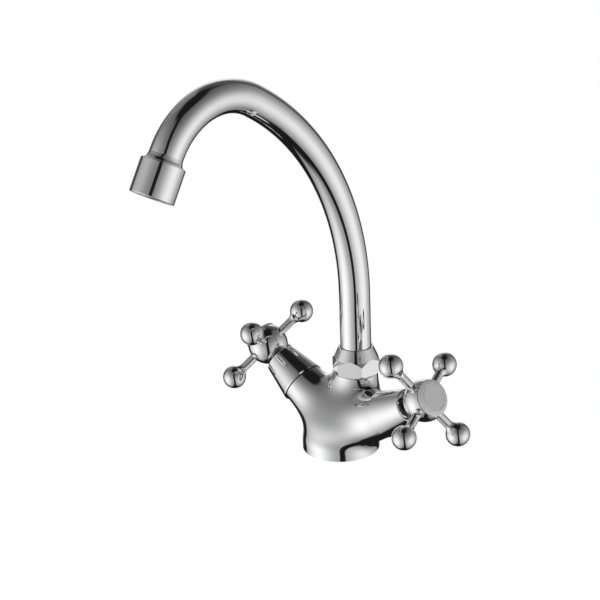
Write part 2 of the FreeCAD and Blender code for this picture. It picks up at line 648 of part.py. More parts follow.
def aerator_housing():
    body = turned("housing", [
        ("housing_bore_r", "collar_height"), ("housing_dia / 2", "collar_height"),
        ("housing_dia / 2", "housing_end"), ("housing_mouth_r", "housing_end"),
        ("housing_mouth_r", "housing_step"), ("housing_bore_r", "housing_step")])
    for height in ("collar_height", "housing_end"):
        dress(body, "Fillet", circles(body.Tip, value(height), value("housing_dia / 2")), "housing_edge")
    keep(body, "aerator_housing", on_outlet())


def aerator_gasket():
    gasket = turned("outlet_gasket", ring_outline("outlet_bore_r + thread_gap", "outlet_thread_r",
                                                  "outlet_nipple_end", "insert_top"))
    keep(gasket, "aerator_gasket", on_outlet())


def aerator_insert():
    """Flanged cup whose floor of jets mixes air into the water."""
    body = turned("insert", [
        ("0", "insert_top"), ("outlet_thread_r", "insert_top"), ("outlet_thread_r", "housing_step"),
        ("insert_r", "housing_step"), ("insert_r", "insert_end"),
        ("insert_r - insert_wall", "insert_end"),
        ("insert_r - insert_wall", "housing_step + insert_floor"),
        ("0", "housing_step + insert_floor")])
    jet = primitive(body, "SubtractiveCylinder", "jet", place(x="jet_circle_dia / 2", z="insert_top - overlap"),
                    Radius="jet_dia / 2", Height="insert_flange_height + insert_floor + 2 * overlap")
    repeat_round(body, jet, "jet_count")
    keep(body, "aerator_insert", on_outlet())


def outlet_screen():
    """Fine screen that fills the lower end of the insert."""
    body = turned("screen", ring_outline("0", "screen_r",
                                         "insert_end - screen_height", "insert_end"))
    for circle in range(1, round(value("screen_circles")) + 1):
        hole = primitive(body, "SubtractiveCylinder", f"screen_hole_{circle}",
                         place(x=f"{circle} * screen_pitch", z="insert_end - screen_height - overlap"),
                         Radius="screen_hole_dia / 2", Height="screen_height + 2 * overlap")
        repeat_round(body, hole, f"screen_first_holes * {circle}")
    keep(body, "aerator_screen", on_outlet())


def seat_seal(name, side):
    seal = turned(f"{name}_seal_ring", ring_outline("waterway_dia / 2", "chamber_dia / 2 - thread_gap",
                                                    "0", "seat_seal_height"))
    keep(seal, f"{name}_seat_seal", on_valve(side, "seat_distance"))


def ceramic_disc(name, side, which, distance, radius, turn="0"):
    body = turned(f"{name}_{which}", ring_outline("0", radius, "0", "disc_height"))
    primitive(body, "SubtractiveCylinder", f"{name}_{which}_port", place(x="port_offset", z="-overlap"),
              Radius="port_dia / 2", Height="disc_height + 2 * overlap")
    if which == "turning_disc":
        primitive(body, "SubtractiveBox", f"{name}_key_slot",
                  place(x="-key_width / 2 - thread_gap", y="-key_length / 2 - thread_gap",
                        z="disc_height - key_height - thread_gap"),
                  Length="key_width + 2 * thread_gap", Width="key_length + 2 * thread_gap",
                  Height="key_height + thread_gap + overlap")
    keep(body, f"{name}_{which}", on_valve(side, distance, turn))


def cartridge(name, side):
    """Brass cartridge: a windowed cage for the discs, a thread, a hexagon and a neck for the spindle."""
    body = turned(f"{name}_cartridge_turning", [
        ("chamber_dia / 2", "seat_distance + cage_lift"), ("cage_dia / 2", "seat_distance + cage_lift"),
        ("cage_dia / 2", "thread_at"), ("valve_thread_dia / 2", "thread_at"),
        ("valve_thread_dia / 2", "arm_length"), ("cartridge_neck_dia / 2", "arm_length"),
        ("cartridge_neck_dia / 2", "cartridge_end"), ("spindle_bore_r", "cartridge_end"),
        ("spindle_bore_r", "collar_step_top + end_gap"),
        ("collar_step_dia / 2 + disc_gap", "collar_step_top + end_gap"),
        ("collar_step_dia / 2 + disc_gap", "collar_step_at"), ("chamber_dia / 2", "collar_step_at")])
    primitive(body, "AdditivePrism", f"{name}_cartridge_hexagon", place(z="arm_length"),
              Circumradius="cartridge_hex_r", Height="cartridge_hex_height")
    primitive(body, "SubtractiveCylinder", f"{name}_cartridge_bore", place(z="arm_length - overlap"),
              Radius="spindle_bore_r", Height="cartridge_hex_height + 2 * overlap")
    primitive(body, "SubtractiveBox", f"{name}_cage_windows",
              place(x="-cage_dia", y="-cage_window / 2", z="turning_disc_at + cage_lift"),
              Length="2 * cage_dia", Width="cage_window", Height="thread_at - turning_disc_at - 2 * cage_lift")
    keep(body, f"{name}_cartridge", on_valve(side))


def spindle(name, side, turn):
    """Spindle of a cartridge, from the key in the turning disc to the end in the handle."""
    body = turned(f"{name}_spindle_turning", [
        ("0", "dog_at"), ("turning_disc_r", "dog_at"), ("turning_disc_r", "collar_step_at - end_gap"),
        ("collar_step_dia / 2", "collar_step_at - end_gap"), ("collar_step_dia / 2", "collar_step_top"),
        ("spindle_r", "collar_step_top"), ("spindle_r", "spindle_end - spindle_lead"),
        ("spindle_r - spindle_lead", "spindle_end"), ("0", "spindle_end")])
    primitive(body, "AdditiveBox", f"{name}_key",
              place(x="-key_width / 2", y="-key_length / 2", z="dog_at - key_height"),
              Length="key_width", Width="key_length", Height="key_height + overlap")
    grooves = [("spindle_seal_distance", "spindle_seal_wire + 2 * thread_gap", "spindle_seal_groove"),
               ("clip_at + clip_height / 2", "clip_height + 2 * thread_gap", "clip_groove_depth")]
    for index, (distance, width, depth) in enumerate(grooves):
        groove = ring_outline(f"spindle_r - {depth}", "spindle_r + overlap",
                              f"{distance} - ({width}) / 2", f"{distance} + ({width}) / 2")
        spin(body, "Groove", outline_sketch(body, f"{name}_spindle_groove_{index}", groove))
    primitive(body, "SubtractiveCylinder", f"{name}_screw_thread",
              place(z="spindle_end - screw_thread_depth"),
              Radius="screw_dia / 2 + thread_gap / 2", Height="screw_thread_depth + overlap")
    keep(body, f"{name}_spindle", on_valve(side, "0", turn))


def spindle_seal(name, side):
    ring = o_ring(f"{name}_spindle_o_ring", "spindle_r - spindle_seal_groove", "spindle_seal_wire")
    keep(ring, f"{name}_spindle_seal", on_valve(side, "spindle_seal_distance"))


def spindle_clip(name, side, turn):
    """Open ring that snaps into the spindle above the cartridge."""
    ring = ring_outline("spindle_r - clip_groove_depth + thread_gap", "clip_dia / 2", "0", "clip_height")
    body = turned(f"{name}_clip_ring", ring)
    primitive(body, "SubtractiveBox", f"{name}_clip_opening",
              place(y="-spindle_r + clip_groove_depth", z="-overlap"), Length="clip_dia",
              Width="2 * (spindle_r - clip_groove_depth)", Height="clip_height + 2 * overlap")
    keep(body, f"{name}_spindle_clip", on_valve(side, "clip_at", turn))


def shroud(name, side):
    """Tapered cover between the arm of the casting and the handle, screwed on the cartridge."""
    body = turned(f"{name}_shroud_turning", [
        ("shroud_r - shroud_wall", "arm_length"), ("shroud_r", "arm_length"),
        ("shroud_r", "arm_length + shroud_lip"), ("shroud_small_dia / 2", "shroud_end"),
        ("cartridge_neck_dia / 2 + thread_gap", "shroud_end"),
        ("cartridge_neck_dia / 2 + thread_gap", "shroud_end - shroud_grip"),
        ("shroud_r - shroud_wall", "cartridge_hex_top + thread_gap")])
    end_rim = circles(body.Tip, value("shroud_end"), value("shroud_small_dia / 2"))
    dress(body, "Fillet", end_rim, "shroud_edge")
    keep(body, f"{name}_shroud", on_valve(side))


def hub_sketch(body, name):
    """Half of the ball shaped hub, cut flat towards the shroud and under the cap."""
    sketch = new_sketch(body, name)
    low, high, radius = (value(text) for text in ("-hub_inner_face", "hub_outer_face", "hub_dia / 2"))
    low_r, high_r = (radius**2 - low**2)**0.5, (radius**2 - high**2)**0.5
    corners = [Vector(0, low, 0), Vector(low_r, low, 0), Vector(high_r, high, 0), Vector(0, high, 0)]
    sketch.addGeometry(Part.LineSegment(corners[0], corners[1]))
    sketch.addGeometry(Part.Arc(corners[1], Vector(radius, 0, 0), corners[2]))
    sketch.addGeometry(Part.LineSegment(corners[2], corners[3]))
    sketch.addGeometry(Part.LineSegment(corners[3], corners[0]))
    for line in range(4):
        sketch.addConstraint(Sketcher.Constraint("Coincident", line, 2, (line + 1) % 4, 1))
    sketch.addConstraint(Sketcher.Constraint("Coincident", 1, 3, -1, 1))
    tie(sketch, Sketcher.Constraint("Radius", 1, radius), "hub_dia / 2")
    fix_point(sketch, 0, 1, "0", "-hub_inner_face")
    fix_point(sketch, 3, 1, "0", "hub_outer_face")
    sketch.addConstraint(Sketcher.Constraint("Horizontal", 0))
    sketch.addConstraint(Sketcher.Constraint("Horizontal", 2))
    return sketch


def cross_arm_sketch(body, name):
    """Half of one arm along X: a rod that flares into the end ball."""
    sketch = new_sketch(body, name)
    rod, flare, ball, reach = (value(text) for text in ("cross_rod_dia / 2", "rod_flare", "end_ball_dia / 2",
                                                        "cross_radius"))
    flare_x = reach - ((flare + ball)**2 - (rod + flare)**2)**0.5
    flare_middle = Vector(flare_x, rod + flare, 0)
    ball_middle = Vector(reach, 0, 0)
    touch = ball_middle + (flare_middle - ball_middle) * (ball / (flare + ball))
    sketch.addGeometry(Part.LineSegment(Vector(0, 0, 0), Vector(0, rod, 0)))
    sketch.addGeometry(Part.LineSegment(Vector(0, rod, 0), Vector(flare_x, rod, 0)))
    halfway = (Vector(0, -1, 0) + (touch - flare_middle).normalize()).normalize()
    sketch.addGeometry(Part.Arc(Vector(flare_x, rod, 0), flare_middle + halfway * flare, touch))
    sketch.addGeometry(Part.Arc(Vector(reach + ball, 0, 0), Vector(reach, ball, 0), touch))
    sketch.addGeometry(Part.LineSegment(Vector(reach + ball, 0, 0), Vector(0, 0, 0)))
    sketch.addConstraint(Sketcher.Constraint("Coincident", 0, 1, -1, 1))
    fix_point(sketch, 0, 2, "0", "cross_rod_dia / 2")
    sketch.addConstraint(Sketcher.Constraint("Coincident", 0, 2, 1, 1))
    sketch.addConstraint(Sketcher.Constraint("Horizontal", 1))
    sketch.addConstraint(Sketcher.Constraint("Tangent", 1, 2, 2, 1))
    sketch.addConstraint(Sketcher.Constraint("Tangent", 2, 2, 3, 2))
    tie(sketch, Sketcher.Constraint("Radius", 2, flare), "rod_flare")
    tie(sketch, Sketcher.Constraint("Radius", 3, ball), "end_ball_dia / 2")
    fix_point(sketch, 3, 3, "cross_radius", "0")
    sketch.addConstraint(Sketcher.Constraint("PointOnObject", 3, 1, -1))
    sketch.addConstraint(Sketcher.Constraint("Coincident", 4, 1, 3, 1))
    sketch.addConstraint(Sketcher.Constraint("Coincident", 4, 2, -1, 1))
    return sketch


def cross_handle(name, side, turn):
    body = new_body(f"{name}_cross")
    spin(body, "Revolution", hub_sketch(body, f"{name}_hub"))
    arm = spin(body, "Revolution", cross_arm_sketch(body, f"{name}_cross_arm"), "H_Axis")
    repeat_round(body, arm, "cross_arms")
    primitive(body, "SubtractiveCylinder", f"{name}_socket", place(z="-hub_inner_face - overlap"),
              Radius="spindle_r + thread_gap / 2", Height="hub_inner_face + socket_end + overlap")
    primitive(body, "SubtractiveCylinder", f"{name}_screw_hole", place(z="socket_end - overlap"),
              Radius="screw_hole_dia / 2", Height="hub_web + 2 * overlap")
    primitive(body, "SubtractiveCylinder", f"{name}_recess", place(z="recess_floor"),
              Radius="recess_dia / 2", Height="hub_outer_face - recess_floor + overlap")
    keep(body, f"{name}_cross_handle", on_valve(side, "hub_distance", turn))


def handle_screw(name, side, turn):
    body = turned(f"{name}_screw_turning", [
        ("0", "-screw_length"), ("screw_dia / 2", "-screw_length"), ("screw_dia / 2", "0"),
        ("screw_head_dia / 2", "0"), ("screw_head_dia / 2", "screw_head_height - screw_head_edge"),
        ("screw_head_dia / 2 - screw_head_edge", "screw_head_height"), ("0", "screw_head_height")])
    slots = (("screw_slot_length", "screw_slot"), ("screw_slot", "screw_slot_length"))
    for index, (length, width) in enumerate(slots):
        primitive(body, "SubtractiveBox", f"{name}_screw_slot_{index}",
                  place(x=f"-{length} / 2", y=f"-{width} / 2", z="screw_head_height - screw_slot"),
                  Length=length, Width=width, Height="screw_slot + overlap")
    keep(body, f"{name}_handle_screw", on_valve(side, "hub_distance + recess_floor", turn))


def index_cap(name, side, turn):
    """Plain cap over the handle screw, with a ring groove round its bare middle."""
    body = turned(f"{name}_cap_turning", [
        ("0", "hub_outer_face - cap_plug_height"),
        ("recess_dia / 2 - thread_gap", "hub_outer_face - cap_plug_height"),
        ("recess_dia / 2 - thread_gap", "hub_outer_face"), ("cap_dia / 2", "hub_outer_face"),
        ("cap_dia / 2", "cap_rim_top"), ("cap_middle_dia / 2 + cap_ring_width", "cap_top"),
        ("cap_middle_dia / 2 + cap_ring_width", "cap_top - cap_ring_depth"),
        ("cap_middle_dia / 2", "cap_top - cap_ring_depth"), ("cap_middle_dia / 2", "cap_top"),
        ("0", "cap_top")])
    dress(body, "Fillet", circles(body.Tip, value("cap_rim_top"), value("cap_dia / 2")), "cap_edge")
    keep(body, f"{name}_index_cap", on_valve(side, "hub_distance", turn))


def valve(name, side, turn):
    """Everything on one side, from the seat in the casting out to the cap of the handle."""
    seat_seal(name, side)
    ceramic_disc(name, side, "fixed_disc", "fixed_disc_at", "chamber_dia / 2 - thread_gap")
    cartridge(name, side)
    shroud(name, side)
    ceramic_disc(name, side, "turning_disc", "turning_disc_at", "turning_disc_r", f"{turn} + 180")
    spindle(name, side, f"{turn} + 180")
    spindle_seal(name, side)
    spindle_clip(name, side, turn)
    cross_handle(name, side, turn)
    handle_screw(name, side, turn)
    index_cap(name, side, turn)


def check(thing):
    """Stop if an object of the document failed, or a piece has no sound shape."""
    if any(word in thing.State for word in ("Invalid", "Error")):
        raise RuntimeError(f"{thing.Name} failed: {thing.State}")
    if thing in pieces and (thing.Shape.isNull() or not thing.Shape.isValid()):
        raise RuntimeError(f"{thing.Label} has no valid shape")


sizes = write_sheet("Sizes", [(name, str(size), note) for name, (size, note) in SIZES.items()])
write_sheet("Worked", [(name, "=" + tied(formula), "") for name, formula in WORKED.items()])
casting()
base_gasket()
grub_screw()
spout_nut()
slide_washers()
spout_tube()
spout_stem()
stem_seals()
outlet_fitting()
aerator_housing()
aerator_gasket()
aerator_insert()
outlet_screen()
valve("hot", -1, "hot_turn")
valve("cold", 1, "cold_turn")
doc.recompute()
for thing in doc.Objects:
    check(thing)
os.makedirs("parts", exist_ok=True)
for piece in pieces:
    piece.Shape.exportStep(f"parts/{piece.Label}.step")
print(f"{len(pieces)} pieces, {sum(len(piece.Shape.Solids) for piece in pieces)} solids")
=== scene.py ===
"""Looks of the two handle kitchen faucet: polished chrome in a white studio, seen as in the photograph.

Everything is in metres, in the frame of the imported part: origin under the middle of the base, +Z up,
spout forward along -Y, hot valve at -X and cold valve at +X.
"""

import json
import math

import bmesh
import bpy
import numpy as np
from mathutils import Matrix, Vector


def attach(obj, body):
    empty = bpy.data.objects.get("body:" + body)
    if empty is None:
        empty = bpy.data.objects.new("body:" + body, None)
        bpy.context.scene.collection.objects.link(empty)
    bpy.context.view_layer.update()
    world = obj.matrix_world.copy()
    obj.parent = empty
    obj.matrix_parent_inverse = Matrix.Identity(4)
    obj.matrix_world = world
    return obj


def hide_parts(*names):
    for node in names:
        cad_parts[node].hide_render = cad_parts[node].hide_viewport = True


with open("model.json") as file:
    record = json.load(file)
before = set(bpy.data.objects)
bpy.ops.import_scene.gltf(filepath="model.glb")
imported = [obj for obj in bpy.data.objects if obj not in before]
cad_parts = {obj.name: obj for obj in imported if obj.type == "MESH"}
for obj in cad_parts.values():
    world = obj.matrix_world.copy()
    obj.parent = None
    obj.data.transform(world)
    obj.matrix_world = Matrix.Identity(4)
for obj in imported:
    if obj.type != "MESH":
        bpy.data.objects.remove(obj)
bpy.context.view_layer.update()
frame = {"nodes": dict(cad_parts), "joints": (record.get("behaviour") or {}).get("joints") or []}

NODES = frame["nodes"]
JOINTS = {joint["name"]: joint for joint in frame["joints"]}
MM = 0.001

# The camera, as solved from the photograph
PHOTO_SIZE = 600
FOCAL_PIXELS = 1755.4
SENSOR_WIDTH = 36.0
CAMERA_AZIMUTH = math.radians(45.49)
CAMERA_ELEVATION = math.radians(21.55)
CAMERA_ROLL = math.radians(-2.11)
CAMERA_DEPTH = 1.0243
CAMERA_REACH = 50.0
# The point where the valve axes cross, and where the photograph shows it
VALVE_CROSSING = Vector(JOINTS["cold_valve_turn"]["pos_m"])
CROSSING_PIXEL = (344.7, 428.2)
VALVE_AXIS = Vector(JOINTS["cold_valve_turn"]["axis"])

# The studio. Angles are in degrees: azimuth from the camera's side to the right, elevation upwards.
# Soft boxes: azimuth, how far they fade to the sides, elevation, how far they fade up and down, and strength
LEFT_BOX = (-75.0, 42.0, -20.0, 48.0, 0.88)
RIGHT_BOX = (66.0, 44.0, -17.0, 42.0, 0.71)
# White cloth round them: elevation, how far it fades, strength there and everywhere
CLOTH = (-20.0, 55.0, 0.22, 0.09)
# Ends of the tent, and how softly they end
TENT_SIDES = (-127.0, 136.0, 4.0)
TENT_HEIGHTS = (-75.0, 68.0, 6.0)
# Dark gap at the camera: its azimuth at level height, how it leans, and from where to where it brightens
GAP_AZIMUTH = -1.0
GAP_LEAN = 0.12
GAP_EDGES = (5.5, 9.5)
# White wall behind the faucet: how far it fades to the sides, its heights and its strength
WALL_FADE = 17.0
WALL_HEIGHTS = (-25.0, 27.0, 9.0)
WALL_STRENGTH = 0.9
# Dim room beyond the tent, and the dim sheet in it behind the tent's left side
ROOM_HEIGHTS = (-2.0, 55.0, 12.0)
ROOM_STRENGTH = 0.08
SHEET_SIDES = (-165.0, -124.0, 5.0)
SHEET_HEIGHTS = (15.0, 64.0, 7.0)
SHEET_STRENGTH = 0.14
DARKEST = 0.012
EXPOSURE = 1.15
# White floor, just under the base, and white dome behind everything
FLOOR_RADIUS = 5.0
FLOOR_DROP = 0.0002
DOME_RADIUS = 7.0

# The cast body, which is made again here as one flowing form with the sizes of the CAD casting
SPOUT_AXIS = Vector(JOINTS["spout_swivel"]["pos_m"])
BASE_RADIUS = 22.4 * MM
SHOULDER_START = 3.0 * MM
SHOULDER_TOP = 37.0 * MM
NECK_RADIUS = 12.3 * MM
NECK_TOP = 42.4 * MM
ARM_RADIUS = 12.8 * MM
ARM_LENGTH = 38.5 * MM
# How far the arms stop short of the shrouds, so that the joint shows
SHROUD_JOINT = 0.4 * MM
# How widely the forms melt into each other, at the foot and from the melt height upwards
MELT_AT_FOOT = 7.0 * MM
MELT_ABOVE = 27.0 * MM
MELT_HEIGHT = 22.0 * MM
# Its mesh: size of the faces, how far rough solids run past the ends, how near to the form a point counts
# as on it, how closely a face has to follow the form's own direction to be shaded by it, and how exactly it
# is cut
FACE_SIZE = 0.9 * MM
RUN_PAST = 6.0 * MM
NEAR_FORM = 0.03 * MM
FOLLOWS_FORM = 0.8
CUT_PRECISION = 0.001 * MM
# Rounds of spreading its points, and of pulling them to the form, at first and after each spreading
SPREADINGS = 10
FIRST_PULLS = 6
PULLS = 2
# Edges sharper than this, in degrees, stay sharp
BODY_SHARP = 30.0
CAP_SHARP = 35.0
# Faces round a cylinder, and how far a cutter runs past the surface
SEGMENTS = 96
CUT_PAST = 2.0 * MM
# Holes in it and the stub on it: radius, and depth or height
VALVE_BORE = (10.5 * MM, 17.5 * MM)
NECK_BORE = (7.46 * MM, 19.9 * MM)
STUB = (10.2 * MM, 9.0 * MM)
STUD_HOLE = (3.4 * MM, 11.0 * MM)
STUD_PLACE = Vector((0.0, -10.5 * MM, 0.0))
INLET = (4.5 * MM, 12.0 * MM)
INLET_OFFSET = 8.6 * MM
# Inner and outer radius, and depth
GASKET_GROOVE = (17.4 * MM, 20.6 * MM, 2.0 * MM)
# Hole of the grub screw; its azimuth is counted from the front towards +X
GRUB_RADIUS = 2.3 * MM
GRUB_HEIGHT = 36.5 * MM
GRUB_AZIMUTH = math.radians(66.5)
# Caps of the handles, from the flat of the hub outwards
HUB_FLAT = 77.7 * MM
CAP_RADIUS = 10.3 * MM
CAP_HEIGHT = 2.1 * MM
CAP_SHOULDER = 1.75 * MM
CAP_ROUND = 0.4 * MM
CAP_UNDERCUT = 0.7 * MM
CAP_FOOT_RADIUS = 9.2 * MM
CAP_PLUG_RADIUS = 6.5 * MM
CAP_PLUG_HEIGHT = 2.6 * MM
CAP_MIDDLE_RADIUS = 7.0 * MM
CAP_GROOVE = 0.8 * MM
CAP_SEGMENTS = 128
# Fine rings turned into them
RING_PITCH = 0.35 * MM
RING_DEPTH = 0.003 * MM


# ---------------------------------------------------------------------------------------------------------
# Sums in shader nodes
# ---------------------------------------------------------------------------------------------------------

class Sum:
    """A number that shader nodes work out, so that a formula can be written as one."""

    def __init__(self, tree, socket):
        self.tree = tree
        self.socket = socket

    def math(self, operation, *others):
        node = self.tree.nodes.new("ShaderNodeMath")
        node.operation = operation
        for slot, term in zip(node.inputs, (self, *others)):
            plug(self.tree, term, slot)
        return Sum(self.tree, node.outputs[0])

    def __add__(self, other):
        return self.math("ADD", other)

    def __sub__(self, other):
        return self.math("SUBTRACT", other)

    def __mul__(self, other):
        return self.math("MULTIPLY", other)

    def __truediv__(self, other):
        return self.math("DIVIDE", other)

    def vector(self, operation, other=None, result="Vector"):
        """The same for a vector."""
        node = self.tree.nodes.new("ShaderNodeVectorMath")
        node.operation = operation
        self.tree.links.new(self.socket, node.inputs[0])
        if other is not None:
            node.inputs[1].default_value = other
        return Sum(self.tree, node.outputs[result])

    def ramp(self, low, high, out_low=0.0, out_high=1.0):
        """Smooth rise or fall from out_low at low to out_high at high."""
        node = self.tree.nodes.new("ShaderNodeMapRange")
        node.interpolation_type = "SMOOTHSTEP"
        settings = {"From Min": low, "From Max": high, "To Min": out_low, "To Max": out_high}
        for name, setting in settings.items():
            node.inputs[name].default_value = setting
        self.tree.links.new(self.socket, node.inputs["Value"])
        return Sum(self.tree, node.outputs["Result"])

    def window(self, low, high, soft):
        """1 between low and high, and 0 outside."""
        return self.ramp(low - soft, low + soft) * self.ramp(high - soft, high + soft, 1.0, 0.0)

    def bell(self, centre, spread):
        """1 at the centre, fading to both sides."""
        return ((self - centre) / spread).math("POWER", 2.0).math("MULTIPLY", -1.0).math("EXPONENT")


def plug(tree, term, slot):
    """Puts a number or another node's result into a socket."""
    if isinstance(term, Sum):
        tree.links.new(term.socket, slot)
    else:
        slot.default_value = term


# ---------------------------------------------------------------------------------------------------------
# Studio: camera, light and floor
# ---------------------------------------------------------------------------------------------------------

def photo_camera():
    """The camera stands where the photograph was taken from."""
    toward = Vector((math.sin(CAMERA_AZIMUTH) * math.cos(CAMERA_ELEVATION),
                     -math.cos(CAMERA_AZIMUTH) * math.cos(CAMERA_ELEVATION),
                     math.sin(CAMERA_ELEVATION)))
    level = Vector((math.cos(CAMERA_AZIMUTH), math.sin(CAMERA_AZIMUTH), 0.0))
    upright = toward.cross(level)
    right = math.cos(CAMERA_ROLL) * level + math.sin(CAMERA_ROLL) * upright
    up = math.cos(CAMERA_ROLL) * upright - math.sin(CAMERA_ROLL) * level
    turn = Matrix((right, up, toward)).transposed()
    middle = PHOTO_SIZE / 2
    seen = Vector(((CROSSING_PIXEL[0] - middle) / FOCAL_PIXELS,
                   (middle - CROSSING_PIXEL[1]) / FOCAL_PIXELS,
                   -1.0)) * CAMERA_DEPTH
    data = bpy.data.cameras.new("photo_camera")
    data.sensor_width = SENSOR_WIDTH
    data.lens = FOCAL_PIXELS / PHOTO_SIZE * SENSOR_WIDTH
    data.clip_end = CAMERA_REACH
    camera = bpy.data.objects.new("photo_camera", data)
    camera.matrix_world = Matrix.Translation(VALVE_CROSSING - turn @ seen) @ turn.to_4x4()
    bpy.context.scene.collection.objects.link(camera)
    bpy.context.scene.camera = camera


def sky_angles(tree):
    """Azimuth and elevation, in degrees, of the direction that the world is seen in."""
    turned = tree.nodes.new("ShaderNodeVectorRotate")
    turned.rotation_type = "Z_AXIS"
    turned.inputs["Angle"].default_value = -CAMERA_AZIMUTH
    tree.links.new(tree.nodes.new("ShaderNodeTexCoord").outputs["Generated"], turned.inputs["Vector"])
    parts = tree.nodes.new("ShaderNodeSeparateXYZ")
    tree.links.new(turned.outputs["Vector"], parts.inputs["Vector"])
    across, away, up = (Sum(tree, parts.outputs[axis]) for axis in "XYZ")
    return across.math("ARCTAN2", away * -1.0).math("DEGREES"), up.math("ARCSINE").math("DEGREES")


def soft_box(azimuth, elevation, place):
    """A large glow that fades to all sides."""
    side, across, height, upright, strength = place
    return azimuth.bell(side, across) * elevation.bell(height, upright) * strength


def studio_light():
    """A light tent: a large soft box at each side of the camera, a narrow dark gap between them, a dark
    roof, dark sides, a dim room beyond them and a bright wall behind the faucet."""
    world = bpy.data.worlds.new("studio")
    world.use_nodes = True
    bpy.context.scene.world = world
    tree = world.node_tree
    tree.nodes.clear()
    azimuth, elevation = sky_angles(tree)
    behind = azimuth.math("ABSOLUTE").math("MULTIPLY", -1.0) + 180.0

    boxes = soft_box(azimuth, elevation, LEFT_BOX) + soft_box(azimuth, elevation, RIGHT_BOX)
    height, fade, strength, everywhere = CLOTH
    cloth = elevation.bell(height, fade) * strength + everywhere
    beside_gap = azimuth + elevation * GAP_LEAN - GAP_AZIMUTH
    gap = (beside_gap.math("ABSOLUTE") * elevation.math("RADIANS").math("COSINE")).ramp(*GAP_EDGES)
    tent = (boxes + cloth) * gap * (azimuth.window(*TENT_SIDES) * elevation.window(*TENT_HEIGHTS))
    wall = behind.bell(0.0, WALL_FADE) * elevation.window(*WALL_HEIGHTS) * WALL_STRENGTH
    sheet = azimuth.window(*SHEET_SIDES) * elevation.window(*SHEET_HEIGHTS) * SHEET_STRENGTH
    room = elevation.window(*ROOM_HEIGHTS) * gap * ROOM_STRENGTH + sheet + DARKEST
    light = (tent.math("MAXIMUM", room) + wall) * EXPOSURE

    background = tree.nodes.new("ShaderNodeBackground")
    tree.links.new(light.socket, background.inputs["Strength"])
    output = tree.nodes.new("ShaderNodeOutputWorld")
    tree.links.new(background.outputs[0], output.inputs["Surface"])


def glowing(name):
    """An even white that needs no lamp."""
    material = bpy.data.materials.new(name)
    material.use_nodes = True
    tree = material.node_tree
    tree.nodes.clear()
    glow = tree.nodes.new("ShaderNodeEmission")
    glow.inputs["Strength"].default_value = 1.0
    output = tree.nodes.new("ShaderNodeOutputMaterial")
    tree.links.new(glow.outputs[0], output.inputs["Surface"])
    return material


def pale_floor():
    """A white floor, which the chrome doesn't mirror: in the photograph it mirrors the tent down there."""
    bpy.ops.mesh.primitive_circle_add(vertices=96, radius=FLOOR_RADIUS, fill_type="NGON")
    floor = bpy.context.object
    floor.name = "floor"
    floor.location.z = -FLOOR_DROP
    floor.data.materials.append(glowing("white_floor"))
    floor.visible_glossy = False


def white_backdrop():
    """A white dome far behind everything, which only the camera sees."""
    bpy.ops.mesh.primitive_uv_sphere_add(segments=48, ring_count=24, radius=DOME_RADIUS)
    dome = bpy.context.object
    dome.name = "backdrop"
    dome.data.materials.append(glowing("white_backdrop"))
    dome.visible_glossy = False
    dome.visible_diffuse = False
    dome.visible_transmission = False
    dome.visible_shadow = False


# ---------------------------------------------------------------------------------------------------------
# Finishes
# ---------------------------------------------------------------------------------------------------------

def new_finish(name, colour, roughness, metallic=0.0):
    """A principled material, with its shader and the place on the piece as a Sum."""
    material = bpy.data.materials.new(name)
    material.use_nodes = True
    tree = material.node_tree
    shader = tree.nodes["Principled BSDF"]
    shader.inputs["Base Color"].default_value = (*colour, 1.0)
    shader.inputs["Roughness"].default_value = roughness
    shader.inputs["Metallic"].default_value = metallic
    place = Sum(tree, tree.nodes.new("ShaderNodeTexCoord").outputs["Object"])
    return material, shader, place


def noise(place, scale, detail=2.0, stretch=(1.0, 1.0, 1.0)):
    """Noise with about scale spots to the metre."""
    spots = place.tree.nodes.new("ShaderNodeTexNoise")
    spots.inputs["Scale"].default_value = scale
    spots.inputs["Detail"].default_value = detail
    plug(place.tree, place.vector("MULTIPLY", stretch), spots.inputs["Vector"])
    return Sum(place.tree, spots.outputs["Fac"])


def bump(shader, height, depth):
    """Raises the surface by height, which runs from 0 to 1, times depth in metres."""
    tree = height.tree
    node = tree.nodes.new("ShaderNodeBump")
    node.inputs["Distance"].default_value = depth
    plug(tree, height, node.inputs["Height"])
    tree.links.new(node.outputs["Normal"], shader.inputs["Normal"])


CHROME = (0.91, 0.91, 0.915)
TOOL_MARK_DEPTH = 0.002 * MM
GRAIN_DEPTH = 0.01 * MM


def chrome(name, wave_depth, roughness=0.035):
    """Polished chrome plate: long faint waves of the polished metal and patches of wiping haze."""
    material, shader, place = new_finish(name, CHROME, roughness, metallic=1.0)
    haze = noise(place, 60.0, detail=6.0).ramp(0.35, 0.75, roughness, roughness + 0.03)
    scuff = noise(place, 900.0, stretch=(1.0, 0.15, 1.0)).ramp(0.62, 0.75, 0.0, 0.03)
    plug(place.tree, haze + scuff, shader.inputs["Roughness"])
    bump(shader, noise(place, 90.0, detail=1.0), wave_depth)
    return material


def metal(name, colour, roughness):
    """Machined metal with fine tool marks."""
    material, shader, place = new_finish(name, colour, roughness, metallic=1.0)
    marks = noise(place, 2500.0, stretch=(1.0, 1.0, 0.1))
    plug(place.tree, marks.ramp(0.3, 0.7, roughness - 0.08, roughness + 0.08), shader.inputs["Roughness"])
    bump(shader, marks, TOOL_MARK_DEPTH)
    return material


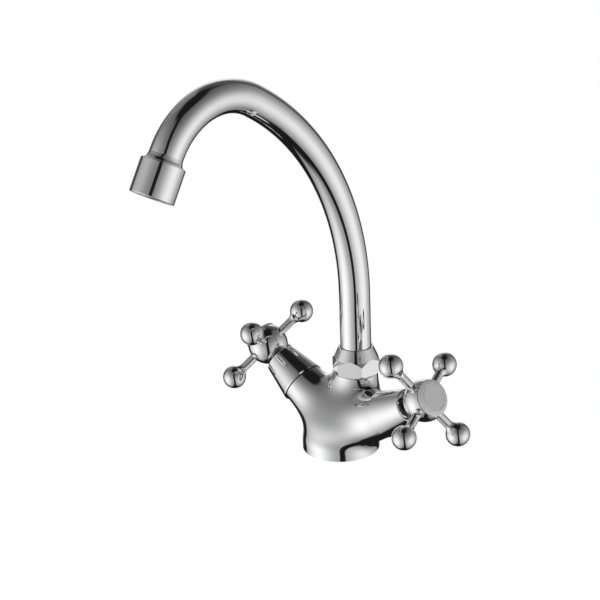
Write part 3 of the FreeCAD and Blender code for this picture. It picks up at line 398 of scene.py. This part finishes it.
def turned_satin(name, roughness, metallic):
    """Satin chrome with the fine rings of the lathe round each valve axis. One axis mirrors the other."""
    material, shader, place = new_finish(name, CHROME, roughness, metallic)
    arm = place.vector("SUBTRACT", VALVE_CROSSING).vector("ABSOLUTE")
    off_axis = arm.vector("CROSS_PRODUCT", VALVE_AXIS).vector("LENGTH", result="Value")
    rings = (off_axis * (math.tau / RING_PITCH)).math("SINE") * 0.5 + 0.5
    patches = noise(place, 700.0, detail=4.0).ramp(0.3, 0.7, roughness - 0.05, roughness + 0.05)
    plug(place.tree, patches + rings * 0.03, shader.inputs["Roughness"])
    bump(shader, rings, RING_DEPTH)
    return material


def moulded(name, colour, roughness, grain):
    """Moulded rubber or plastic with a fine grain."""
    material, shader, place = new_finish(name, colour, roughness)
    spots = noise(place, grain)
    plug(place.tree, spots.ramp(0.3, 0.7, roughness - 0.06, roughness + 0.06), shader.inputs["Roughness"])
    bump(shader, spots, GRAIN_DEPTH)
    return material


FINISHES = {
    "chrome_casting": lambda: chrome("chrome_casting", 6e-6),
    "chrome_nut": lambda: chrome("chrome_nut", 2e-6),
    "chrome_tube": lambda: chrome("chrome_tube", 3e-6),
    "chrome_outlet": lambda: chrome("chrome_outlet", 2e-6),
    "chrome_shroud": lambda: chrome("chrome_shroud", 3e-6),
    "chrome_handle": lambda: chrome("chrome_handle", 3e-6),
    "chrome_cap": lambda: turned_satin("chrome_cap", 0.42, 0.15),
    "brass": lambda: metal("brass", (0.78, 0.57, 0.27), 0.28),
    # Nickel grey of the plated valve, made dark as painted shade for the gap between shroud and hub
    "valve_nickel": lambda: metal("valve_nickel", (0.33, 0.32, 0.31), 0.3),
    "steel": lambda: metal("steel", (0.3, 0.3, 0.31), 0.35),
    # Near-black steel for the grub screw: painted shade for the deep hole it sits in
    "painted_shade_steel": lambda: metal("painted_shade_steel", (0.03, 0.03, 0.032), 0.4),
    "rubber": lambda: moulded("rubber", (0.02, 0.02, 0.021), 0.65, 3000.0),
    "slide_plastic": lambda: moulded("slide_plastic", (0.8, 0.79, 0.76), 0.4, 2500.0),
    "aerator_plastic": lambda: moulded("aerator_plastic", (0.7, 0.72, 0.74), 0.35, 2500.0),
    "disc_ceramic": lambda: moulded("disc_ceramic", (0.86, 0.85, 0.82), 0.18, 4000.0),
}


def dress_nodes(finishes):
    """Gives every CAD piece the finish of its slot in the record, and blackens the grub screw as painted
    shade for the deep hole it sits in.
    """
    for name, node in NODES.items():
        for slot in node.material_slots:
            slot.material = finishes[slot.material.name.split(".")[0]]
    # The grub screw gets the near-black steel, as painted shade of its deep hole
    NODES["neck_grub_screw"].material_slots[0].material = finishes["painted_shade_steel"]


# ---------------------------------------------------------------------------------------------------------
# Cast body
# ---------------------------------------------------------------------------------------------------------

def valve_axes():
    """The outward directions of the hot and the cold valve."""
    return [Vector((side * VALVE_AXIS.x, VALVE_AXIS.y, VALVE_AXIS.z)) for side in (-1.0, 1.0)]


def eased(share):
    """From 0 to 1 with no kink and no sudden bend at either end."""
    share = np.clip(share, 0.0, 1.0)
    return share ** 3 * (share * (share * 6.0 - 15.0) + 10.0)


def melted(first, second, width):
    """The field of two forms that melt into each other where they are within a width of each other."""
    share = np.clip(1.0 - np.abs(first - second) / width, 0.0, 1.0)
    return np.minimum(first, second) - share ** 3 * width / 6.0


def body_field(points):
    """Roughly how far points lie outside the cast body. It is 0 on the surface, and negative inside."""
    x, y, z = points.T
    shoulder = eased((z - SHOULDER_START) / (SHOULDER_TOP - SHOULDER_START))
    trunk_radius = BASE_RADIUS + (NECK_RADIUS - BASE_RADIUS) * shoulder
    field = np.hypot(x, y - SPOUT_AXIS.y * shoulder) - trunk_radius
    width = MELT_AT_FOOT + (MELT_ABOVE - MELT_AT_FOOT) * eased(z / MELT_HEIGHT)
    from_crossing = points - np.array(VALVE_CROSSING)
    for axis in valve_axes():
        along = from_crossing @ np.array(axis)
        off_axis = np.linalg.norm(from_crossing - np.outer(along, np.array(axis)), axis=1)
        field = melted(field, np.hypot(off_axis, np.minimum(along, 0.0)) - ARM_RADIUS, width)
    return field


def body_slope(points):
    """The direction in which the field grows, and how fast."""
    step = 0.01 * MM
    return np.stack([(body_field(points + offset) - body_field(points - offset)) / (2.0 * step)
                     for offset in np.eye(3) * step], axis=1)


def pulled_to_surface(points, rounds):
    """Points moved straight onto the surface of the cast body, a little closer in each round."""
    for _ in range(rounds):
        slope = body_slope(points)
        points = points - slope * (body_field(points) / np.sum(slope * slope, axis=1))[:, None]
    return points


def cylinder(shape, start, axis, radius, length, end_radius=None):
    """Adds a closed cylinder or cone to a bmesh, from its start along its axis."""
    turn = Vector((0.0, 0.0, 1.0)).rotation_difference(axis).to_matrix().to_4x4()
    middle = start + axis.normalized() * (length / 2.0)
    bmesh.ops.create_cone(shape, cap_ends=True, segments=SEGMENTS, radius1=radius,
                          radius2=radius if end_radius is None else end_radius,
                          depth=length, matrix=Matrix.Translation(middle) @ turn)


def bridge(shape, row, following):
    """Joins two closed rows of points with faces."""
    for step in range(len(row)):
        ahead = (step + 1) % len(row)
        shape.faces.new((row[step], row[ahead], following[ahead], following[step]))


def ring(shape, centre, inner, outer, height):
    """Adds a closed upright ring to a bmesh."""
    corners = [(inner, 0.0), (outer, 0.0), (outer, height), (inner, height)]
    rows = [[shape.verts.new(centre + Vector((radius * math.cos(turn), radius * math.sin(turn), up)))
             for turn in (math.tau * step / SEGMENTS for step in range(SEGMENTS))]
            for radius, up in corners]
    for row, following in zip(rows, rows[1:] + rows[:1]):
        bridge(shape, row, following)


def object_of(shape, name):
    """A new object with the mesh of a bmesh."""
    bmesh.ops.recalc_face_normals(shape, faces=shape.faces)
    mesh = bpy.data.meshes.new(name)
    shape.to_mesh(mesh)
    shape.free()
    thing = bpy.data.objects.new(name, mesh)
    bpy.context.scene.collection.objects.link(thing)
    return thing


def apply_modifiers(thing):
    """Replaces an object's mesh by what its modifiers make of it."""
    made = bpy.data.meshes.new_from_object(thing.evaluated_get(bpy.context.evaluated_depsgraph_get()))
    thing.modifiers.clear()
    thing.data = made


def rough_body():
    """Plain solids in the cast body's place that run past its ends, joined into one even skin."""
    up = Vector((0.0, 0.0, 1.0))
    shape = bmesh.new()
    cylinder(shape, up * -RUN_PAST, up, BASE_RADIUS, SHOULDER_START + RUN_PAST)
    cylinder(shape, up * SHOULDER_START, up, BASE_RADIUS, SHOULDER_TOP - SHOULDER_START, NECK_RADIUS)
    lean = SPOUT_AXIS.y / (SHOULDER_TOP - SHOULDER_START)
    for vert in shape.verts:
        vert.co.y += lean * max(vert.co.z - SHOULDER_START, 0.0)
    cylinder(shape, Vector((0.0, SPOUT_AXIS.y, SHOULDER_START)), up, NECK_RADIUS,
             NECK_TOP + RUN_PAST - SHOULDER_START)
    for axis in valve_axes():
        cylinder(shape, VALVE_CROSSING, axis, ARM_RADIUS, ARM_LENGTH + RUN_PAST)
    body = object_of(shape, "cast_body")
    remesh = body.modifiers.new("skin", "REMESH")
    remesh.mode = "VOXEL"
    remesh.voxel_size = FACE_SIZE
    apply_modifiers(body)
    return body


def spread_evenly(mesh):
    """Spreads the points of a mesh evenly over the surface of the cast body."""
    points = np.empty(len(mesh.vertices) * 3)
    mesh.vertices.foreach_get("co", points)
    points = points.reshape(-1, 3)
    edges = np.empty(len(mesh.edges) * 2, dtype=np.int32)
    mesh.edges.foreach_get("vertices", edges)
    first, second = edges.reshape(-1, 2).T
    count = np.bincount(edges, minlength=len(points))[:, None]
    points = pulled_to_surface(points, FIRST_PULLS)
    for _ in range(SPREADINGS):
        total = np.zeros_like(points)
        np.add.at(total, first, points[second])
        np.add.at(total, second, points[first])
        points = pulled_to_surface(0.5 * points + 0.5 * total / count, PULLS)
    mesh.vertices.foreach_set("co", points.ravel())
    mesh.update()


def cut_flat(mesh):
    """Cuts the skin flat at the underside, the neck and both arms, and closes it there."""
    down = Vector((0.0, 0.0, -1.0))
    planes = [(Vector(), down), (Vector((0.0, 0.0, NECK_TOP)), -down)]
    planes += [(VALVE_CROSSING + axis * (ARM_LENGTH - SHROUD_JOINT), axis) for axis in valve_axes()]
    shape = bmesh.new()
    shape.from_mesh(mesh)
    for point, outward in planes:
        everything = shape.verts[:] + shape.edges[:] + shape.faces[:]
        cut = bmesh.ops.bisect_plane(shape, geom=everything, plane_co=point, plane_no=outward,
                                     clear_outer=True, dist=CUT_PRECISION)
        rim = [item for item in cut["geom_cut"] if isinstance(item, bmesh.types.BMEdge)]
        bmesh.ops.edgeloop_fill(shape, edges=rim)
    bmesh.ops.recalc_face_normals(shape, faces=shape.faces)
    shape.to_mesh(mesh)
    shape.free()


def bored(body, shape):
    """Cuts the solids of a bmesh out of the body."""
    cutter = object_of(shape, "cutter")
    cut = body.modifiers.new("bore", "BOOLEAN")
    cut.operation = "DIFFERENCE"
    cut.solver = "EXACT"
    cut.object = cutter
    apply_modifiers(body)
    bpy.data.objects.remove(cutter)


def bore_holes(body):
    """The seats of the valves and the spout, the holes and groove in the underside, and the screw's hole."""
    up = Vector((0.0, 0.0, 1.0))
    shape = bmesh.new()
    for axis in valve_axes():
        radius, depth = VALVE_BORE
        cylinder(shape, VALVE_CROSSING + axis * (ARM_LENGTH - depth), axis, radius, depth + CUT_PAST)
        radius, depth = INLET
        place = Vector((math.copysign(INLET_OFFSET, axis.x), VALVE_CROSSING.y, -CUT_PAST))
        cylinder(shape, place, up, radius, depth + CUT_PAST)
    radius, depth = NECK_BORE
    cylinder(shape, Vector((0.0, SPOUT_AXIS.y, NECK_TOP - depth)), up, radius, depth + CUT_PAST)
    radius, depth = STUD_HOLE
    cylinder(shape, STUD_PLACE - up * CUT_PAST, up, radius, depth + CUT_PAST)
    inner, outer, depth = GASKET_GROOVE
    ring(shape, up * -CUT_PAST, inner, outer, depth + CUT_PAST)
    bored(body, shape)
    shape = bmesh.new()
    outward = Vector((math.sin(GRUB_AZIMUTH), -math.cos(GRUB_AZIMUTH), 0.0))
    start = Vector((0.0, SPOUT_AXIS.y, GRUB_HEIGHT))
    cylinder(shape, start, outward, GRUB_RADIUS, NECK_RADIUS + RUN_PAST)
    bored(body, shape)


def add_stub(mesh):
    """The thread above the neck, inside the nut."""
    shape = bmesh.new()
    shape.from_mesh(mesh)
    ring(shape, Vector((0.0, SPOUT_AXIS.y, NECK_TOP)), NECK_BORE[0], *STUB)
    bmesh.ops.recalc_face_normals(shape, faces=shape.faces)
    shape.to_mesh(mesh)
    shape.free()


def shade_true(mesh):
    """Gives the flowing faces the exact normals of the form, so that it mirrors without ripples."""
    mesh.shade_smooth()
    mesh.set_sharp_from_angle(angle=math.radians(BODY_SHARP))
    points = np.empty(len(mesh.vertices) * 3)
    mesh.vertices.foreach_get("co", points)
    points = points.reshape(-1, 3)
    on_form = np.abs(body_field(points)) < NEAR_FORM
    slope = body_slope(points)
    true = slope / np.linalg.norm(slope, axis=1)[:, None]
    normals = [corner.vector.copy() for corner in mesh.corner_normals]
    for face in mesh.polygons:
        corners = list(face.vertices)
        if on_form[corners].all() and (true[corners] @ np.array(face.normal)).min() > FOLLOWS_FORM:
            for loop, vertex in zip(face.loop_indices, corners):
                normals[loop] = Vector(true[vertex])
    mesh.normals_split_custom_set(normals)


def cast_body(finish):
    """The cast body as one flowing form, in place of the CAD casting's separate arms and shoulder."""
    body = rough_body()
    spread_evenly(body.data)
    cut_flat(body.data)
    bore_holes(body)
    add_stub(body.data)
    shade_true(body.data)
    body.data.materials.clear()
    body.data.materials.append(finish)
    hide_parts("body_casting")
    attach(body, "body")


# ---------------------------------------------------------------------------------------------------------
# Caps
# ---------------------------------------------------------------------------------------------------------

def arc(centre, radius, start, end, steps=8):
    """Points along an arc in an outline of radius and height, from one angle to another in degrees."""
    turns = [math.radians(start + (end - start) * step / steps) for step in range(steps + 1)]
    return [(centre[0] + radius * math.cos(turn), centre[1] + radius * math.sin(turn)) for turn in turns]


def cap_outline():
    """Half of a cap's section, from the middle of its plug round the rim to the middle of its face. The
    heights are above the flat of the hub."""
    rim = CAP_RADIUS - CAP_ROUND
    groove = CAP_GROOVE / 2.0
    return [(0.0, -CAP_PLUG_HEIGHT), (CAP_PLUG_RADIUS, -CAP_PLUG_HEIGHT), (CAP_PLUG_RADIUS, 0.0),
            (CAP_FOOT_RADIUS, 0.0), (CAP_FOOT_RADIUS, CAP_UNDERCUT),
            *arc((rim, CAP_UNDERCUT + CAP_ROUND), CAP_ROUND, -90.0, 0.0),
            *arc((rim, CAP_SHOULDER - CAP_ROUND), CAP_ROUND, 0.0, 75.0),
            *arc((CAP_MIDDLE_RADIUS + groove, CAP_HEIGHT), groove, 0.0, -180.0),
            (0.0, CAP_HEIGHT)]


def index_cap(node, axis, body, finish):
    """A satin cap with a rounded rim over a shadow gap, and a fine groove round its bare middle."""
    turn = Vector((0.0, 0.0, 1.0)).rotation_difference(axis).to_matrix()
    foot = VALVE_CROSSING + axis * HUB_FLAT
    shape = bmesh.new()
    rows = [[shape.verts.new(foot + turn @ Vector((radius * math.cos(angle), radius * math.sin(angle), up)))
             for angle in (math.tau * step / CAP_SEGMENTS for step in range(CAP_SEGMENTS))]
            for radius, up in cap_outline()]
    for row, following in zip(rows, rows[1:]):
        bridge(shape, row, following)
    bmesh.ops.remove_doubles(shape, verts=shape.verts, dist=0.1 * CUT_PRECISION)
    cap = object_of(shape, f"{body}_cap")
    cap.data.shade_smooth()
    cap.data.set_sharp_from_angle(angle=math.radians(CAP_SHARP))
    cap.data.materials.append(finish)
    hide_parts(node)
    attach(cap, body)


finishes = {slot: make() for slot, make in FINISHES.items()}
photo_camera()
studio_light()
pale_floor()
white_backdrop()
dress_nodes(finishes)
cast_body(finishes["chrome_casting"])
for side, axis in zip(("hot", "cold"), valve_axes()):
    index_cap(f"{side}_index_cap", axis, f"{side}_handle", finishes["chrome_cap"])

bpy.context.scene.view_settings.view_transform = "Standard"
